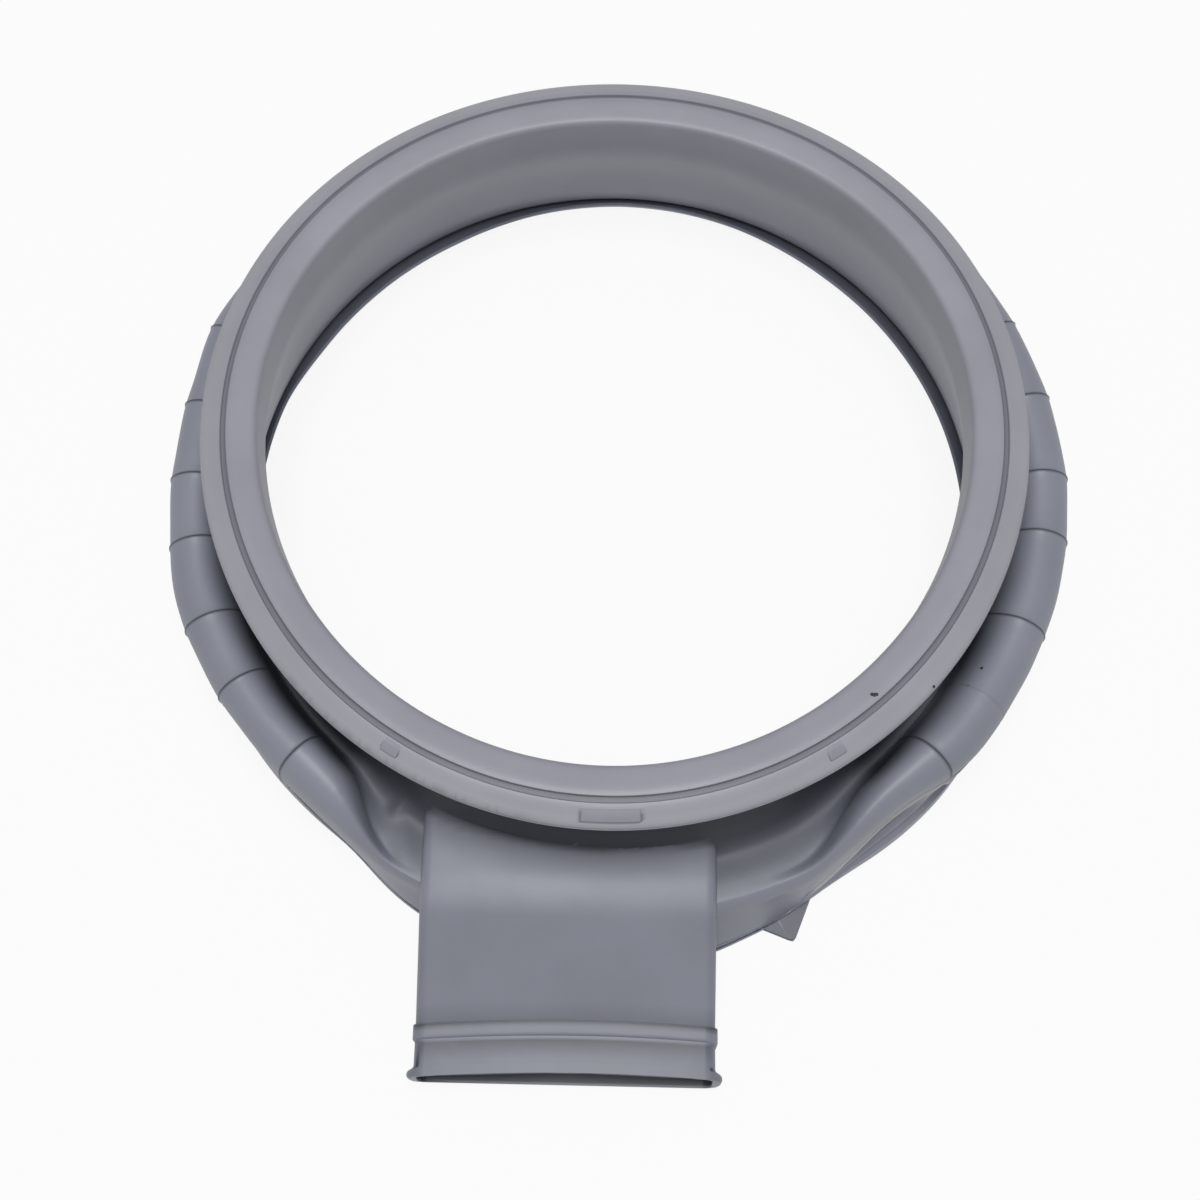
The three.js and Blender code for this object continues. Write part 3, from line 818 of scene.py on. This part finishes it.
def buildSeal():
    verts, wearAndShade = sealMesh()
    piece = makeObject("doorSealRubber", verts, True)
    outer = makeObject("ductOuter", ductVerts(False, duct["startY"], duct["mouthY"]), False)
    combine(outer, makeObject("plug", sleevePlug(seal["wall"] / 2), True), "DIFFERENCE")
    combine(piece, outer, "UNION")
    print("duct joined:", len(piece.data.polygons), "faces")
    channelEnd = duct["mouthY"] - duct["channelPast"]
    channel = makeObject("channel", ductVerts(True, duct["channelStartY"], channelEnd), False)
    combine(piece, channel, "DIFFERENCE")
    combine(piece, makeObject("tab", tabVerts(), False), "UNION")
    for angle, width, outward in ((marks["bottomAngle"], marks["bottomWidth"], marks["bottomOut"]),
                                  (marks["rightAngle"], marks["sideWidth"], 0.0),
                                  (marks["leftAngle"], marks["sideWidth"], 0.0)):
        combine(piece, makeObject("mark", markVerts(angle, width, outward), False), "UNION")
    paintMarks(piece, verts, wearAndShade)
    piece.data.polygons.foreach_set("use_smooth", [True] * len(piece.data.polygons))
    piece.data.set_sharp_from_angle(angle=math.radians(38))
    print("seal built:", len(piece.data.polygons), "faces")
    return piece


rubberLook = {
    # the ring's tint is lighter than the body's: painted light on the high ring
    "ringTint": (0.304, 0.302, 0.352, 1),
    "bodyTint": (0.262, 0.274, 0.328, 1),
    # dark lines: painted shade in the mould lines, the groove and the duct's steps, painted shadow
    # at the raised marks, and wear dashes on the ring's edge
    "lineTint": (0.040, 0.044, 0.055, 1),
    # painted shade for the folds, the gaps under the ring, the duct's channel, slope and seat, and
    # the tab
    "paintedShadeTint": (0.022, 0.027, 0.038, 1),
    # painted highlight
    "paintedHighlightTint": (0.560, 0.560, 0.580, 1),
    "speckTint": (0.008, 0.008, 0.010, 1),
    "ringFrom": 0.085,       # height where the ring's tint starts, m
    "ringFull": 0.105,
    "paintedShadeStrength": 0.90,
    "paintedHighlightStrength": 0.85,
    "roughness": 0.45,
    "specular": 0.5,
    "cloudScale": 26.0,
    "cloudRange": (0.95, 1.05),
    "grain": 0.10,
    "grainScale": 1500.0,
    "grainHeight": 0.0002,
    "flow": 0.25,            # broad unevenness
    "flowScale": 90.0,
    "flowHeight": 0.0006,
    "speckEdge": (0.85, 1.15),
    # dirt on the ring and in the fold: x, y, height, size, mm
    "specks": ((96.3, -128.4, 112.6, 0.7), (107.9, -127.6, 112.6, 0.8),
               (108.8, -127.8, 112.6, 0.9), (109.7, -127.6, 112.6, 0.8),
               (134.3, -122.3, 107.9, 0.7), (136.4, -123.3, 107.0, 1.1),
               (159.2, -106.1, 60.0, 1.1), (166.0, -98.1, 60.0, 1.0)),
}


def node(tree, kind, **values):
    made = tree.nodes.new(kind)
    for key, value in values.items():
        if hasattr(made, key):
            setattr(made, key, value)
        else:
            made.inputs[key].default_value = value
    return made


def mapRange(tree, value, fromRange, toRange):
    made = node(tree, "ShaderNodeMapRange")
    names = ("From Min", "From Max", "To Min", "To Max")
    for name, number in zip(names, (*fromRange, *toRange)):
        made.inputs[name].default_value = number
    tree.links.new(value, made.inputs["Value"])
    return made.outputs[0]


def tintOver(tree, colour, tint, amount):
    over = node(tree, "ShaderNodeMix", data_type="RGBA")
    over.inputs["B"].default_value = tint
    tree.links.new(amount, over.inputs["Factor"])
    tree.links.new(colour, over.inputs["A"])
    return over.outputs["Result"]


def noise(tree, spot, scale, detail):
    made = node(tree, "ShaderNodeTexNoise", Scale=scale, Detail=detail)
    tree.links.new(spot, made.inputs["Vector"])
    return made.outputs["Fac"]


def makeRubber():
    look = rubberLook
    rubber = bpy.data.materials.new("greyRubber")
    rubber.use_nodes = True
    tree = rubber.node_tree
    link = tree.links.new
    shader = tree.nodes["Principled BSDF"]
    shader.inputs["Roughness"].default_value = look["roughness"]
    shader.inputs["Specular IOR Level"].default_value = look["specular"]
    spot = node(tree, "ShaderNodeTexCoord").outputs["Object"]

    # the ring is a little warmer and lighter than the body; its lighter tint is painted light on
    # the high, upward faces. Both are slightly uneven
    split = node(tree, "ShaderNodeSeparateXYZ")
    link(spot, split.inputs[0])
    tint = node(tree, "ShaderNodeMix", data_type="RGBA")
    tint.inputs["A"].default_value = look["bodyTint"]
    tint.inputs["B"].default_value = look["ringTint"]
    ringShare = mapRange(tree, split.outputs["Z"], (look["ringFrom"], look["ringFull"]), (0, 1))
    link(ringShare, tint.inputs["Factor"])
    cloud = noise(tree, spot, look["cloudScale"], 4.0)
    shade = node(tree, "ShaderNodeVectorMath", operation="SCALE")
    link(tint.outputs["Result"], shade.inputs[0])
    link(mapRange(tree, cloud, (0.3, 0.7), look["cloudRange"]), shade.inputs["Scale"])

    colour = shade.outputs[0]
    # painted shade, dark lines (mostly painted shade, partly wear) and painted highlights
    for key, share in (("paintedShade", look["paintedShadeStrength"]), ("line", 1.0), ("paintedHighlight", look["paintedHighlightStrength"])):
        mark = node(tree, "ShaderNodeAttribute", attribute_name=key)
        amount = node(tree, "ShaderNodeMath", operation="MULTIPLY")
        amount.inputs[1].default_value = share
        link(mark.outputs["Fac"], amount.inputs[0])
        colour = tintOver(tree, colour, look[key + "Tint"], amount.outputs[0])
    for x, y, height, size in look["specks"]:
        away = node(tree, "ShaderNodeVectorMath", operation="DISTANCE")
        away.inputs[1].default_value = [(a + b) * mm for a, b in zip((x, y, height), ringCentre)]
        link(spot, away.inputs[0])
        edge = [size * mm * share for share in look["speckEdge"]]
        inside = mapRange(tree, away.outputs["Value"], edge, (1.0, 0.0))
        colour = tintOver(tree, colour, look["speckTint"], inside)
    link(colour, shader.inputs["Base Color"])

    grain = noise(tree, spot, look["grainScale"], 2.0)
    flow = noise(tree, spot, look["flowScale"], 3.0)
    fine = node(tree, "ShaderNodeBump", Strength=look["grain"], Distance=look["grainHeight"])
    broad = node(tree, "ShaderNodeBump", Strength=look["flow"], Distance=look["flowHeight"])
    link(grain, fine.inputs["Height"])
    link(flow, broad.inputs["Height"])
    link(broad.outputs[0], fine.inputs["Normal"])
    link(fine.outputs[0], shader.inputs["Normal"])
    return rubber


studio = {
    "floorHalf": 14.0,
    "floorShade": 0.8,
    "floorGlow": 0.9,        # share of plain white that the camera sees on the floor
    "world": 0.31,
    "overheadPower": 21.5,
    "overheadSize": 0.8,
    "overheadY": -0.12,
    "overheadHeight": 1.9,
}


def makeFloor():
    half = studio["floorHalf"]
    mesh = bpy.data.meshes.new("floor")
    corners = [(-half, -half, 0), (half, -half, 0), (half, half, 0), (-half, half, 0)]
    mesh.from_pydata(corners, [], [(0, 1, 2, 3)])
    floor = bpy.data.objects.new("floor", mesh)
    bpy.context.scene.collection.objects.link(floor)
    white = bpy.data.materials.new("whiteFloor")
    white.use_nodes = True
    tree = white.node_tree
    link = tree.links.new
    tree.nodes.clear()
    end = node(tree, "ShaderNodeOutputMaterial")
    mixer = node(tree, "ShaderNodeMixShader")
    matt = node(tree, "ShaderNodeBsdfDiffuse", Color=(studio["floorShade"],) * 3 + (1,))
    glow = node(tree, "ShaderNodeEmission", Color=(1, 1, 1, 1), Strength=1.0)
    path = node(tree, "ShaderNodeLightPath")
    glossy = node(tree, "ShaderNodeMath", operation="ADD")
    through = node(tree, "ShaderNodeMath", operation="ADD", use_clamp=True)
    share = node(tree, "ShaderNodeMath", operation="MULTIPLY")
    share.inputs[1].default_value = studio["floorGlow"]
    link(path.outputs["Is Camera Ray"], glossy.inputs[0])
    link(path.outputs["Is Glossy Ray"], glossy.inputs[1])
    link(glossy.outputs[0], through.inputs[0])
    link(path.outputs["Is Transmission Ray"], through.inputs[1])
    link(through.outputs[0], share.inputs[0])
    link(share.outputs[0], mixer.inputs["Fac"])
    link(matt.outputs[0], mixer.inputs[1])
    link(glow.outputs[0], mixer.inputs[2])
    link(mixer.outputs[0], end.inputs["Surface"])
    mesh.materials.append(white)


def makeLight():
    world = bpy.data.worlds.new("studio")
    bpy.context.scene.world = world
    world.use_nodes = True
    tree = world.node_tree
    back = tree.nodes["Background"]
    back.inputs["Color"].default_value = (1, 1, 1, 1)
    path = node(tree, "ShaderNodeLightPath")
    level = mapRange(tree, path.outputs["Is Camera Ray"], (0, 1), (studio["world"], 1.0))
    tree.links.new(level, back.inputs["Strength"])
    lamp = bpy.data.lights.new("overhead", "AREA")
    lamp.shape = "DISK"
    lamp.size = studio["overheadSize"]
    lamp.energy = studio["overheadPower"]
    overhead = bpy.data.objects.new("overhead", lamp)
    y, height = studio["overheadY"], studio["overheadHeight"]
    overhead.location = (0.0, y, height)
    overhead.rotation_euler = (-math.atan2(y, height), 0, 0)
    bpy.context.scene.collection.objects.link(overhead)


view = {
    "focalPixels": 1636.4,
    "place": (-0.823, -323.218, 653.447),    # from the middle of the ring's edge, mm
    "turn": -0.017,                          # radians, as are tilt and roll
    "tilt": 1.151,
    "roll": 0.004,
    "shiftPixels": -120.0,
    "framePixels": 1200.0,
    "sensor": 36.0,
    "clipStart": 0.01,
}


def makeCamera():
    v = view
    lens = bpy.data.cameras.new("camera")
    lens.sensor_width = v["sensor"]
    lens.lens = v["sensor"] * v["focalPixels"] / v["framePixels"]
    lens.shift_y = v["shiftPixels"] / v["framePixels"]
    lens.clip_start = v["clipStart"]
    camera = bpy.data.objects.new("camera", lens)
    turnCos, turnSin = math.cos(v["turn"]), math.sin(v["turn"])
    tiltCos, tiltSin = math.cos(v["tilt"]), math.sin(v["tilt"])
    rollCos, rollSin = math.cos(v["roll"]), math.sin(v["roll"])
    forward = Vector((turnSin * tiltCos, turnCos * tiltCos, -tiltSin))
    right = Vector((turnCos, -turnSin, 0))
    up = right.cross(forward)
    rolledRight = rollCos * right + rollSin * up
    rolledUp = -rollSin * right + rollCos * up
    turn = Matrix((rolledRight, rolledUp, -forward)).transposed().to_4x4()
    middle = Vector(ringCentre * mm) + Vector((0, 0, seal["edgeHeight"] * mm))
    camera.matrix_world = Matrix.Translation(middle + Vector(v["place"]) * mm) @ turn
    bpy.context.scene.collection.objects.link(camera)
    bpy.context.scene.camera = camera


rubber = makeRubber()
print("rubber ready")
piece = buildSeal()
piece.data.materials.clear()
piece.data.materials.append(rubber)
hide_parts("door_seal")
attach(piece, "root")
makeFloor()
makeLight()
makeCamera()
bpy.context.scene.view_settings.view_transform = "Standard"
print("floor, light and camera ready")
